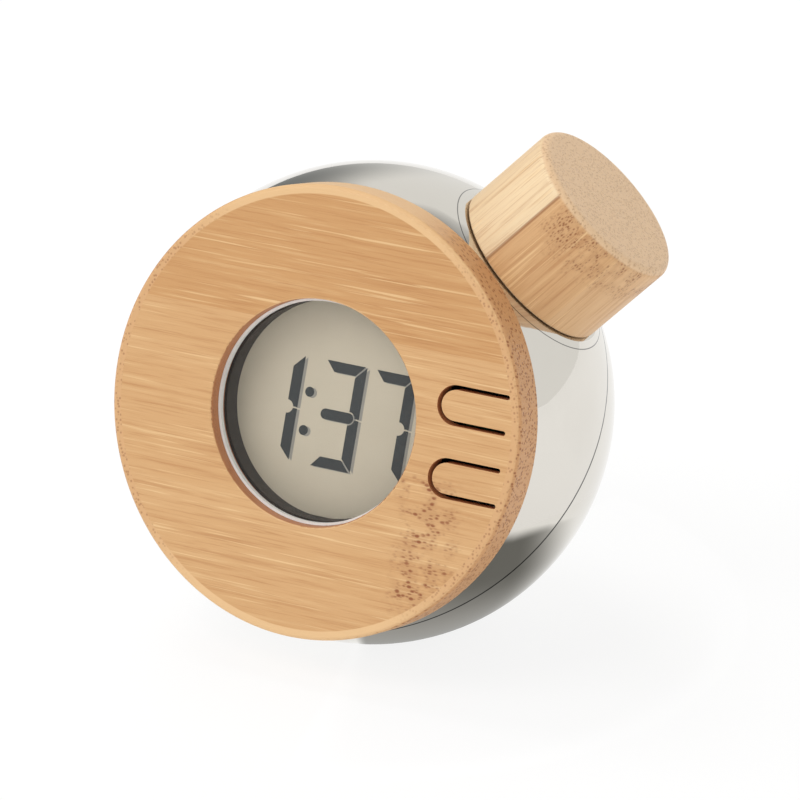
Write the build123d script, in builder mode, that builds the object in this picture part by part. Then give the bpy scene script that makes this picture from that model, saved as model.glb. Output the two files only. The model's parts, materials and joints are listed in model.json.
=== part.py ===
from build123d import *
from math import cos, radians, sin, sqrt
import os

os.makedirs("parts", exist_ok=True)

# Ball: two plated shells that meet on a slanted seam
ball_margin = 3.2
base_flat_depth = 2.7
shell_wall = 2.4
seam_slope = 43.6
seam_setback = 2.3
seam_groove_width = 0.3
seam_groove_depth = 1.0
lip_thickness = 1.2
lip_reach = 3.0
lip_clearance = 0.15
tank_rest_radius = 10.0
tank_rest_width = 2.0

# Bamboo panel, tilted back, with a round window and two spring tongues
panel_thickness = 7.0
panel_tilt = 15.7
panel_edge_round = 0.8
window_margin = 0.5
window_edge_round = 0.35
panel_seat_width = 5.5
tongue_root_margin = 3.4
tongue_tip_margin = 0.3
tongue_width = 5.4
tongue_thickness = 2.5
tongue_offset = 6.4
slot_width = 0.85
pocket_margin = 0.9
pocket_root_margin = 0.6

# Window trim and display
bezel_depth = 2.4
bezel_height = 1.0
bezel_wall = 0.45
lens_thickness = 1.2
fit_gap = 0.05
tube_wall = 0.55
display_size = 41.0
display_glass = 1.1
display_ledge = 1.2
display_gap = 0.4

# Clock module behind the panel
plate_thickness = 1.4
flange_margin = 3.7
housing_wall = 1.7
zebra_height = 3.0
zebra_width = 2.0
zebra_end_gap = 1.5
zebra_inset = 0.2
board_thickness = 1.6
board_overhang = 1.4
board_corner_round = 2.5
board_tab_margin = 5.5
board_tab_width = 20.0
boss_radius = 2.2
boss_inset = 0.3
module_clearance = 0.76
board_screw_radius = 1.05
board_screw_length = 4.6
screw_head_radius = 1.8
screw_head_height = 1.1
module_screw_radius = 1.0
module_screw_margin = 4.7
module_screw_bite = 4.0

# Push switches and the pushers under the tongues
switch_size = 6.0
switch_height = 3.4
plunger_radius = 1.5
plunger_height = 1.2
plunger_engagement = 1.0
switch_travel = 0.3
switch_gap = 1.4
pusher_gap = 0.15
pusher_radius = 1.3
pusher_foot_radius = 2.3
pusher_foot_height = 0.8
pusher_tip_round = 0.5

# Small parts on the back of the board
chip_radius = 5.0
chip_height = 1.4
chip_spot = (0.0, 6.0)
crystal_radius = 1.0
crystal_length = 6.0
crystal_edge = 10.0
crystal_height = 10.0
capacitor_radius = 4.6
capacitor_height = 2.4
capacitor_edge = 10.0
capacitor_rise = 8.0

# Water tank with its filler neck
tank_gap = 1.8
tank_wall = 1.8
tank_module_gap = 3.9
neck_radius = 11.0
neck_bore_radius = 9.5
neck_height = 7.0
neck_clearance = 0.25
shoulder_radius = 13.0
shoulder_height = 1.6
neck_floor_drop = 2.6

# Cell plates, which pass through the lid of the tank
electrode_spacing = 16.0
electrode_rise = 23.2
electrode_width = 12.0
electrode_thickness = 1.6
electrode_length = 17.0
electrode_flange = 1.0
stud_radius = 1.6
seal_radius = 3.2
seal_thickness = 1.0
strip_thickness = 0.4
strip_width = 3.0
strip_run = 8.0
nut_size = 5.5
nut_height = 2.0
stud_proud = 0.3

# Cap: bamboo over a threaded liner, with a sealing disc
cap_turn_angle = 47.0
cap_seat_depth = 3.2
cap_gap = 0.2
cap_radius = 15.85
cap_height = 18.8
cap_top_round = 1.6
cap_base_round = 0.5
insert_radius = 13.0
insert_wall = 1.1
insert_recess = 0.3
insert_roof = 1.4
cap_seal_thickness = 1.5
cap_seal_gap = 0.15

# Sizes that nest round the display, from the window out to the ball
window_radius = display_size / 2 - window_margin
zebra_length = display_size - 2 * zebra_end_gap
housing_inner = display_size + 2 * display_gap
housing_outer = housing_inner + 2 * housing_wall
board_size = housing_outer + 2 * board_overhang
boss_spot = housing_outer / 2 - boss_inset
module_screw_circle = housing_outer / 2 + module_screw_margin
flange_radius = module_screw_circle + flange_margin
switch_x = housing_outer / 2 + switch_gap + switch_size / 2
board_tab_end = switch_x + board_tab_margin
module_reach = sqrt(2) * boss_spot + boss_radius
module_opening_radius = module_reach + module_clearance
panel_radius = module_opening_radius + panel_seat_width
tongue_root = panel_radius - tongue_root_margin
tongue_tip = switch_x - pusher_foot_radius - tongue_tip_margin
ball_radius = panel_radius + ball_margin
ball_centre_height = ball_radius - base_flat_depth
cap_seat_height = ball_radius - cap_seat_depth
electrode_drop = ball_radius - electrode_rise
crystal_spot = (board_size / 2 - crystal_edge, crystal_height)
capacitor_spot = (capacitor_edge - board_size / 2, capacitor_rise)

# Planes of the ball, the panel, the cap and the seam
ball_frame = Plane(origin=(0, 0, ball_centre_height))
panel_normal = Vector(0, -cos(radians(panel_tilt)), sin(radians(panel_tilt)))
panel_frame = Plane(origin=ball_frame.origin, x_dir=(1, 0, 0), z_dir=panel_normal)
panel_axis = Axis(ball_frame.origin, panel_normal)
cap_swing = radians(cap_turn_angle)
cap_direction = panel_frame.x_dir * cos(cap_swing) + panel_frame.y_dir * sin(cap_swing)
cap_frame = Plane(origin=ball_frame.origin, x_dir=panel_normal, z_dir=cap_direction)
cap_axis = Axis(ball_frame.origin, cap_direction)
seam_normal = Vector(0, -cos(radians(seam_slope)), sin(radians(seam_slope)))
seam_plane = Plane(origin=ball_frame.origin, x_dir=(1, 0, 0), z_dir=seam_normal).offset(-seam_setback)

# Levels along the panel's normal, from the front face inwards
panel_seat = sqrt(ball_radius**2 - panel_radius**2)
panel_face = panel_seat + panel_thickness
bezel_front = panel_face - bezel_depth
lens_front = bezel_front - bezel_height
tube_front = lens_front - lens_thickness
display_front = panel_seat - plate_thickness
display_back = display_front - 2 * display_glass
board_front = display_back - zebra_height
board_back = board_front - board_thickness
tongue_back = panel_face - tongue_thickness
switch_top = board_front + switch_height
plunger_top = switch_top + plunger_height
pusher_tip = plunger_top + pusher_gap

# Widths that follow from the display
trim_radius = window_radius - fit_gap
tube_bore = trim_radius - tube_wall
zebra_spot = display_size / 2 - zebra_inset - zebra_width / 2

# Levels along the cap's axis
cap_base = cap_seat_height + cap_gap
neck_top = cap_seat_height + neck_height
seal_top = neck_top + cap_seal_thickness
insert_top = seal_top + insert_roof
insert_base = cap_base + insert_recess
shoulder_top = cap_seat_height - shell_wall
shoulder_base = shoulder_top - shoulder_height
neck_floor = shoulder_top - neck_floor_drop
tank_inset = shell_wall + tank_gap
tank_front = board_back - tank_module_gap
tank_inside = tank_front - tank_wall

# Size of the cuts that trim the ball to a plane
cut_reach = 2 * ball_radius


def keep(piece: BuildPart, name: str) -> None:
    """Label a finished piece and write it to its own file."""
    piece.part.label = name
    export_step(piece.part, f"parts/{name}.step")


def clipped_ball(inset: float, front: float) -> Part:
    """Ball drawn in by inset, cut flat at the base, at the cap's seat and at a level behind the panel."""
    base_plane = -Plane.XY.offset(inset)
    cap_plane = cap_frame.offset(cap_seat_height - inset)
    with BuildPart(panel_frame) as ball:
        Sphere(ball_radius - inset)
        for plane in (panel_frame.offset(front), cap_plane, base_plane):
            with BuildSketch(plane):
                Circle(cut_reach)
            extrude(amount=cut_reach, mode=Mode.SUBTRACT)
    return ball.part


def seam_band(inset: float, inner_radius: float, low: float, high: float) -> Part:
    """Hollow band of the clipped ball between two levels on either side of the seam."""
    with BuildPart(panel_frame) as band:
        add(clipped_ball(inset, panel_seat - inset))
        Sphere(inner_radius, mode=Mode.SUBTRACT)
        for plane in (-seam_plane.offset(low), seam_plane.offset(high)):
            with BuildSketch(plane):
                Circle(cut_reach)
            extrude(amount=cut_reach, mode=Mode.SUBTRACT)
    return band.part


def half_shell(waste_side: Plane) -> Part:
    """Ball wall on one side of the seam, open to the clock module and to the filler neck."""
    with BuildPart() as wall:
        add(clipped_ball(0, panel_seat))
        add(clipped_ball(shell_wall, panel_seat - shell_wall), mode=Mode.SUBTRACT)
        with BuildSketch(panel_frame.offset(panel_seat)):
            Circle(module_opening_radius)
        extrude(amount=-shell_wall, mode=Mode.SUBTRACT)
        with BuildSketch(cap_frame.offset(cap_seat_height)):
            Circle(neck_radius + neck_clearance)
        extrude(amount=-shell_wall, mode=Mode.SUBTRACT)
        with BuildSketch(waste_side):
            Circle(cut_reach)
        extrude(amount=cut_reach, mode=Mode.SUBTRACT)
    return wall.part


def tongue_outline(side: int, growth: float) -> Sketch:
    """Outline of one tongue on the panel's face, with a round tip, grown all round by growth."""
    half_width = tongue_width / 2
    tip_centre = tongue_tip + half_width
    with BuildSketch(panel_frame.offset(panel_face)) as outline:
        with Locations(((tongue_root + tip_centre) / 2, side * tongue_offset)):
            Rectangle(tongue_root - tip_centre, tongue_width + 2 * growth)
        with Locations((tip_centre, side * tongue_offset)):
            Circle(half_width + growth)
    return outline.sketch


# Front shell, with the lip that reaches behind the seam
lip_inner_radius = ball_radius - shell_wall - lip_clearance - lip_thickness
with BuildPart() as front_shell:
    add(half_shell(-seam_plane))
    add(seam_band(shell_wall / 2, lip_inner_radius, 0, lip_reach))
    add(seam_band(shell_wall + lip_clearance, lip_inner_radius, -lip_reach, lip_reach))
keep(front_shell, "front_shell")

# Rear shell, with the fine groove along the seam and the ring that the tank rests on
with BuildPart() as rear_shell:
    add(half_shell(seam_plane))
    add(seam_band(0, ball_radius - seam_groove_depth, -seam_groove_width, 0), mode=Mode.SUBTRACT)
    with BuildSketch(Plane.XY.offset(shell_wall)):
        Circle(tank_rest_radius)
        Circle(tank_rest_radius - tank_rest_width, mode=Mode.SUBTRACT)
    extrude(amount=tank_gap)
keep(rear_shell, "rear_shell")

# Bamboo panel: window, screw holes, U slots and the pocket that thins the tongues
module_screw_spots = [(0, module_screw_circle), (-module_screw_circle, 0), (0, -module_screw_circle)]
pocket_left = tongue_tip - slot_width - pocket_margin
pocket_right = tongue_root + pocket_root_margin
pocket_width = 2 * (tongue_offset + tongue_width / 2 + slot_width + pocket_margin)
slot_spread = tongue_width / 2 + slot_width / 2
slot_ends = [(tongue_root, side * tongue_offset + end * slot_spread) for side in (1, -1) for end in (1, -1)]
with BuildPart() as front_panel:
    with BuildSketch(panel_frame.offset(panel_seat)):
        Circle(panel_radius)
        Circle(window_radius, mode=Mode.SUBTRACT)
    extrude(amount=panel_thickness)
    front_rims = front_panel.edges().filter_by(GeomType.CIRCLE).group_by(panel_axis)[-1]
    fillet(front_rims.sort_by(SortBy.RADIUS)[-1], radius=panel_edge_round)
    front_rims = front_panel.edges().filter_by(GeomType.CIRCLE).group_by(panel_axis)[-1]
    fillet(front_rims.sort_by(SortBy.RADIUS)[0], radius=window_edge_round)
    with BuildSketch(panel_frame.offset(panel_seat)):
        with Locations(*module_screw_spots):
            Circle(module_screw_radius + fit_gap)
    extrude(amount=module_screw_bite, mode=Mode.SUBTRACT)
    with BuildSketch(panel_frame.offset(panel_seat)):
        with Locations(((pocket_left + pocket_right) / 2, 0)):
            Rectangle(pocket_right - pocket_left, pocket_width)
    extrude(amount=panel_thickness - tongue_thickness, mode=Mode.SUBTRACT)
    for side in (1, -1):
        extrude(tongue_outline(side, slot_width), amount=-panel_thickness, mode=Mode.SUBTRACT)
    with BuildSketch(panel_frame.offset(panel_face)):
        with Locations(*slot_ends):
            Circle(slot_width / 2)
    extrude(amount=-tongue_thickness, mode=Mode.SUBTRACT)
keep(front_panel, "front_panel")

# Tongues and their pushers, then the plungers that they press
for name, side in (("upper", 1), ("lower", -1)):
    with BuildPart() as button:
        extrude(tongue_outline(side, 0), amount=-tongue_thickness)
    keep(button, f"{name}_button")

    with BuildPart() as pusher:
        with BuildSketch(panel_frame.offset(tongue_back)):
            with Locations((switch_x, side * tongue_offset)):
                Circle(pusher_foot_radius)
        extrude(amount=-pusher_foot_height)
        with BuildSketch(panel_frame.offset(tongue_back)):
            with Locations((switch_x, side * tongue_offset)):
                Circle(pusher_radius)
        extrude(amount=pusher_tip - tongue_back)
        fillet(pusher.edges().sort_by(panel_axis)[0], radius=pusher_tip_round)
    keep(pusher, f"{name}_pusher")

    with BuildPart() as plunger:
        with BuildSketch(panel_frame.offset(plunger_top)):
            with Locations((switch_x, side * tongue_offset)):
                Circle(plunger_radius)
        extrude(amount=-(plunger_height + plunger_engagement))
    keep(plunger, f"{name}_plunger")

# Trim ring and clear window
with BuildPart() as window_bezel:
    with BuildSketch(panel_frame.offset(lens_front)):
        Circle(trim_radius)
        Circle(trim_radius - bezel_wall, mode=Mode.SUBTRACT)
    extrude(amount=bezel_height)
keep(window_bezel, "window_bezel")

with BuildPart() as window_lens:
    with BuildSketch(panel_frame.offset(tube_front)):
        Circle(trim_radius)
    extrude(amount=lens_thickness)
keep(window_lens, "window_lens")

# Display: two glass sheets, the front one shorter so that the contacts lie bare
with BuildPart() as lcd_panel:
    with BuildSketch(panel_frame.offset(display_back)):
        Rectangle(display_size, display_size)
    extrude(amount=display_glass)
    with BuildSketch(panel_frame.offset(display_back + display_glass)):
        Rectangle(display_size, display_size - 2 * display_ledge)
    extrude(amount=display_glass)
keep(lcd_panel, "lcd_panel")

# Module housing: window tube, flange on the panel's back and the box round the display
boss_spots = [(x * boss_spot, y * boss_spot) for x in (1, -1) for y in (1, -1)]
with BuildPart() as module_housing:
    with BuildSketch(panel_frame.offset(display_front)):
        Circle(flange_radius)
        with Locations(((housing_outer + flange_radius) / 2, 0)):
            Rectangle(flange_radius, pocket_width, mode=Mode.SUBTRACT)
        Rectangle(housing_outer, housing_outer)
    extrude(amount=plate_thickness)
    with BuildSketch(panel_frame.offset(panel_seat)):
        Circle(trim_radius)
    extrude(amount=tube_front - panel_seat)
    with BuildSketch(panel_frame.offset(board_front)):
        Rectangle(housing_outer, housing_outer)
        with Locations(*boss_spots):
            Circle(boss_radius)
        Rectangle(housing_inner, housing_inner, mode=Mode.SUBTRACT)
    extrude(amount=display_front - board_front)
    with BuildSketch(panel_frame.offset(tube_front)):
        Circle(tube_bore)
    extrude(amount=display_front - tube_front, mode=Mode.SUBTRACT)
    with BuildSketch(panel_frame.offset(display_front)):
        with Locations(*module_screw_spots):
            Circle(module_screw_radius + fit_gap)
    extrude(amount=plate_thickness, mode=Mode.SUBTRACT)
    with BuildSketch(panel_frame.offset(board_front)):
        with Locations(*boss_spots):
            Circle(board_screw_radius + fit_gap)
    extrude(amount=board_screw_length - board_thickness, mode=Mode.SUBTRACT)
keep(module_housing, "module_housing")

# Contact strips between the display and the board
with BuildPart() as zebra_strips:
    with BuildSketch(panel_frame.offset(board_front)):
        with Locations((0, zebra_spot), (0, -zebra_spot)):
            Rectangle(zebra_length, zebra_width)
    extrude(amount=zebra_height)
keep(zebra_strips, "zebra_strips")

# Circuit board with a tab under the tongues
with BuildPart() as circuit_board:
    with BuildSketch(panel_frame.offset(board_back)):
        RectangleRounded(board_size, board_size, board_corner_round)
        with Locations((board_tab_end / 2, 0)):
            RectangleRounded(board_tab_end, board_tab_width, board_corner_round)
        Circle(module_reach, mode=Mode.INTERSECT)
        with Locations(*boss_spots):
            Circle(board_screw_radius + fit_gap, mode=Mode.SUBTRACT)
    extrude(amount=board_thickness)
keep(circuit_board, "circuit_board")

# Switch bodies, each with the bore that its plunger runs in
switch_spots = [(switch_x, tongue_offset), (switch_x, -tongue_offset)]
with BuildPart() as switch_bodies:
    with BuildSketch(panel_frame.offset(board_front)):
        with Locations(*switch_spots):
            Rectangle(switch_size, switch_size)
    extrude(amount=switch_height)
    with BuildSketch(panel_frame.offset(switch_top)):
        with Locations(*switch_spots):
            Circle(plunger_radius + fit_gap)
    extrude(amount=-(plunger_engagement + 2 * switch_travel), mode=Mode.SUBTRACT)
keep(switch_bodies, "switch_bodies")

# Parts on the back of the board: bonded chip, crystal can and memory capacitor
chip_ball_radius = (chip_radius**2 + chip_height**2) / (2 * chip_height)
with BuildPart() as chip_cover:
    with BuildSketch(panel_frame.offset(board_back)):
        with Locations(chip_spot):
            Circle(chip_radius)
    extrude(amount=-chip_height)
    chip_ball = Plane(
        origin=panel_frame.from_local_coords((*chip_spot, board_back - chip_height + chip_ball_radius)),
        z_dir=panel_normal,
    )
    add(chip_ball * Sphere(chip_ball_radius, mode=Mode.PRIVATE), mode=Mode.INTERSECT)
keep(chip_cover, "chip_cover")

crystal_frame = Plane(
    origin=panel_frame.from_local_coords((*crystal_spot, board_back - crystal_radius - fit_gap)),
    x_dir=panel_normal,
    z_dir=panel_frame.x_dir,
)
with BuildPart() as quartz_crystal:
    with BuildSketch(crystal_frame):
        Circle(crystal_radius)
    extrude(amount=crystal_length / 2, both=True)
keep(quartz_crystal, "quartz_crystal")

with BuildPart() as backup_capacitor:
    with BuildSketch(panel_frame.offset(board_back)):
        with Locations(capacitor_spot):
            Circle(capacitor_radius)
    extrude(amount=-capacitor_height)
keep(backup_capacitor, "backup_capacitor")

# Screws: three hold the module to the panel, four hold the board to the module
with BuildPart() as module_screws:
    with BuildSketch(panel_frame.offset(display_front)):
        with Locations(*module_screw_spots):
            Circle(screw_head_radius)
    extrude(amount=-screw_head_height)
    with BuildSketch(panel_frame.offset(display_front)):
        with Locations(*module_screw_spots):
            Circle(module_screw_radius)
    extrude(amount=plate_thickness + module_screw_bite)
keep(module_screws, "module_screws")

with BuildPart() as board_screws:
    with BuildSketch(panel_frame.offset(board_back)):
        with Locations(*boss_spots):
            Circle(screw_head_radius)
    extrude(amount=-screw_head_height)
    with BuildSketch(panel_frame.offset(board_back)):
        with Locations(*boss_spots):
            Circle(board_screw_radius)
    extrude(amount=board_screw_length)
keep(board_screws, "board_screws")

# Water tank: drawn-in ball, open at the front, and a neck whose rear half opens into it
electrode_spots = {
    "positive": (electrode_spacing / 2, -electrode_drop),
    "negative": (-electrode_spacing / 2, -electrode_drop),
}
with BuildPart() as water_tank:
    add(clipped_ball(tank_inset, tank_front))
    with BuildSketch(cap_frame.offset(neck_floor)):
        Circle(neck_radius)
    extrude(amount=neck_top - neck_floor)
    with BuildSketch(cap_frame.offset(shoulder_base)):
        Circle(shoulder_radius)
    extrude(amount=shoulder_height)
    add(clipped_ball(tank_inset + tank_wall, tank_front), mode=Mode.SUBTRACT)
    with BuildSketch(cap_frame.offset(neck_floor + tank_wall)):
        Circle(neck_bore_radius)
    extrude(amount=neck_top - neck_floor - tank_wall, mode=Mode.SUBTRACT)
    with BuildSketch(cap_frame.offset(neck_floor + tank_wall)):
        Circle(neck_bore_radius)
        with Locations((tank_inside + neck_bore_radius, 0)):
            Rectangle(2 * neck_bore_radius, 2 * neck_bore_radius, mode=Mode.SUBTRACT)
    extrude(amount=-(tank_inset + 2 * tank_wall), mode=Mode.SUBTRACT)
keep(water_tank, "water_tank")

# Flat lid that closes the tank's mouth and carries the cell plates
with BuildPart() as tank_lid:
    add(clipped_ball(tank_inset + tank_wall + fit_gap, tank_front))
    with BuildSketch(panel_frame.offset(tank_inside)):
        Circle(cut_reach)
    extrude(amount=-cut_reach, mode=Mode.SUBTRACT)
    with BuildSketch(panel_frame.offset(tank_front)):
        with Locations(*electrode_spots.values()):
            Circle(stud_radius + fit_gap)
    extrude(amount=-tank_wall, mode=Mode.SUBTRACT)
keep(tank_lid, "tank_lid")

# Cell plates with their studs, seals, contact strips and nuts
seal_back = tank_inside - seal_thickness
flange_back = seal_back - electrode_flange
nut_base = tank_front + strip_thickness
for name, spot in electrode_spots.items():
    with BuildPart() as electrode:
        with BuildSketch(panel_frame.offset(flange_back)):
            with Locations(spot):
                Rectangle(electrode_thickness, electrode_width)
        extrude(amount=-electrode_length)
        with BuildSketch(panel_frame.offset(flange_back)):
            with Locations(spot):
                Circle(seal_radius)
        extrude(amount=electrode_flange)
        with BuildSketch(panel_frame.offset(seal_back)):
            with Locations(spot):
                Circle(stud_radius)
        extrude(amount=nut_base + nut_height + stud_proud - seal_back)
    keep(electrode, f"{name}_electrode")

with BuildPart() as electrode_seals:
    with BuildSketch(panel_frame.offset(seal_back)):
        with Locations(*electrode_spots.values()):
            Circle(seal_radius)
            Circle(stud_radius + fit_gap, mode=Mode.SUBTRACT)
    extrude(amount=seal_thickness)
keep(electrode_seals, "electrode_seals")

with BuildPart() as terminal_strips:
    with BuildSketch(panel_frame.offset(tank_front)):
        for spot in electrode_spots.values():
            with Locations(spot):
                Circle(seal_radius)
            with Locations((spot[0], spot[1] + strip_run / 2)):
                Rectangle(strip_width, strip_run)
            with Locations(spot):
                Circle(stud_radius + fit_gap, mode=Mode.SUBTRACT)
    extrude(amount=strip_thickness)
    with BuildSketch(panel_frame.offset(tank_front)):
        with Locations(*[(x, y + strip_run - strip_thickness / 2) for x, y in electrode_spots.values()]):
            Rectangle(strip_width, strip_thickness)
    extrude(amount=board_back - tank_front)
keep(terminal_strips, "terminal_strips")

with BuildPart() as electrode_nuts:
    with BuildSketch(panel_frame.offset(nut_base)):
        with Locations(*electrode_spots.values()):
            RegularPolygon(nut_size / 2, 6, major_radius=False)
            Circle(stud_radius + fit_gap, mode=Mode.SUBTRACT)
    extrude(amount=nut_height)
keep(electrode_nuts, "electrode_nuts")

# Cap: sealing disc, liner and bamboo body
with BuildPart() as cap_seal:
    with BuildSketch(cap_frame.offset(neck_top)):
        Circle(insert_radius - insert_wall - cap_seal_gap)
    extrude(amount=cap_seal_thickness)
keep(cap_seal, "cap_seal")

with BuildPart() as cap_insert:
    with BuildSketch(cap_frame.offset(insert_base)):
        Circle(insert_radius - fit_gap)
    extrude(amount=insert_top - insert_base)
    with BuildSketch(cap_frame.offset(insert_base)):
        Circle(insert_radius - insert_wall)
    extrude(amount=seal_top - insert_base, mode=Mode.SUBTRACT)
keep(cap_insert, "cap_insert")

with BuildPart() as cap_wood:
    with BuildSketch(cap_frame.offset(cap_base)):
        Circle(cap_radius)
    extrude(amount=cap_height)
    fillet(cap_wood.edges().filter_by(GeomType.CIRCLE).sort_by(cap_axis)[-1], radius=cap_top_round)
    fillet(cap_wood.edges().filter_by(GeomType.CIRCLE).sort_by(cap_axis)[0], radius=cap_base_round)
    with BuildSketch(cap_frame.offset(cap_base)):
        Circle(insert_radius)
    extrude(amount=insert_top - cap_base, mode=Mode.SUBTRACT)
keep(cap_wood, "cap_wood")
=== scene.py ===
"""Looks of a ball-shaped desk clock with a bamboo panel, a bamboo cap and mirror-plated shells."""

import enum
import json
import logging
import math
from dataclasses import dataclass, field
from typing import Sequence, Union

import bmesh
import bpy
from mathutils import Matrix, Vector


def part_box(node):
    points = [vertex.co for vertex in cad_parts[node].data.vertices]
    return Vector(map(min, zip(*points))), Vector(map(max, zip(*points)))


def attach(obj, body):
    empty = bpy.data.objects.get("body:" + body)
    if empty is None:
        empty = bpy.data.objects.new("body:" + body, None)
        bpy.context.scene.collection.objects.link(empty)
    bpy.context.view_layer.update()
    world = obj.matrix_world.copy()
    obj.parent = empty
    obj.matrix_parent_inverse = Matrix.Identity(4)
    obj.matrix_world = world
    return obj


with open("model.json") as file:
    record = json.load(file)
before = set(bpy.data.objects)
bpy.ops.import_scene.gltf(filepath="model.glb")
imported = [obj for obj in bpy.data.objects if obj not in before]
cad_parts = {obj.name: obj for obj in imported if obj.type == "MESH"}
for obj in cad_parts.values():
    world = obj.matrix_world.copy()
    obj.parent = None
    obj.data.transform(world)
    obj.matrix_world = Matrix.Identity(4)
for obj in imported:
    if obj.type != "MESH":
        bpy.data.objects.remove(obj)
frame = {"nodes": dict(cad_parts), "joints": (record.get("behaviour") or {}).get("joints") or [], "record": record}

LOG = logging.getLogger("desk_clock")
MM = 0.001
IMAGE_SIDE = 800
BALL_CENTRE_HEIGHT = 40.5 * MM

Socket = bpy.types.NodeSocket
Value = Union[float, Socket]
Colour = tuple[float, float, float, float]
Pair = tuple[float, float]


def srgb(red: int, green: int, blue: int) -> Colour:
    """Turn a colour as seen on screen into the linear colour that a shader takes.

    Args:
        red: Red, 0 to 255.
        green: Green, 0 to 255.
        blue: Blue, 0 to 255.

    Returns:
        The linear colour with full opacity.
    """
    def linear(channel: int) -> float:
        """Undo the screen curve of one channel."""
        share = channel / 255
        return share / 12.92 if share <= 0.04045 else ((share + 0.055) / 1.055) ** 2.4

    return (linear(red), linear(green), linear(blue), 1.0)


def grey(tone: float, warmth: float = 1.0) -> Colour:
    """Grey of a brightness, with the share of it that the blue has."""
    return (tone, tone, tone * warmth, 1.0)


def towards(turn: float, rise: float) -> Vector:
    """Direction away from the clock.

    Args:
        turn: Turn from the front to the right, in degrees.
        rise: Rise above the floor, in degrees.

    Returns:
        The unit direction.
    """
    around, above = math.radians(turn), math.radians(rise)
    flat = math.cos(above)
    return Vector((math.sin(around) * flat, -math.cos(around) * flat, math.sin(above)))


class Grain(enum.Enum):
    """Which bamboo piece a finish is laid out for."""

    PANEL = "panel"
    CAP = "cap"


@dataclass(frozen=True)
class ClockFrame:
    """Directions and centres of the clock, read from its joints.

    Args:
        centre: Centre of the ball.
        across: Direction across the panel, to the right.
        up: Direction up the panel.
        normal: Direction out of the panel's face.
        cap_axis: Direction out of the cap's top.
    """

    centre: Vector
    across: Vector
    up: Vector
    normal: Vector
    cap_axis: Vector

    @classmethod
    def from_joints(cls, joints: Sequence[dict], centre_height: float) -> "ClockFrame":
        """Read the directions from the joints' axes.

        Args:
            joints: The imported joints.
            centre_height: Height of the ball's centre above the base.

        Returns:
            The clock's frame.
        """
        axes = {joint["name"]: Vector(joint["axis"]).normalized() for joint in joints}
        up = -axes["upper_button_press"]
        normal = -axes["upper_plunger_travel"]
        return cls(Vector((0, 0, centre_height)), up.cross(normal), up, normal, axes["cap_turn"])

    def panel_turn(self) -> Matrix:
        """Turn from panel directions (across, up, normal) to the row frame."""
        return Matrix((self.across, self.up, self.normal)).transposed()

    def cap_turn(self) -> Matrix:
        """Turn from cap directions (normal, side, axis) to the row frame."""
        side = self.cap_axis.cross(self.normal)
        return Matrix((self.normal, side, self.cap_axis)).transposed()

    def on_panel(self, x: float, y: float, level: float) -> Vector:
        """Point at panel coordinates x, y and a level along the panel's normal."""
        return self.centre + self.across * x + self.up * y + self.normal * level

    def level(self, node: str) -> float:
        """Highest level of a node along the panel's normal."""
        corners = frame["nodes"][node].data.vertices
        return max((vertex.co - self.centre).dot(self.normal) for vertex in corners)


@dataclass(frozen=True)
class Layer:
    """Noise drawn out along the grain of the wood.

    Args:
        along: Cells per metre along the grain.
        across: Cells per metre across it.
        detail: Octaves of the noise.
        rough: Weight of the finer octaves.
    """

    along: float
    across: float
    detail: float = 2.0
    rough: float = 0.55


@dataclass(frozen=True)
class Wash:
    """How a value turns into the share of a tint.

    Args:
        low: Value at which the tint starts.
        high: Value at which it is full.
        strength: Share of the tint where it is full.
    """

    low: float
    high: float
    strength: float


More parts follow.
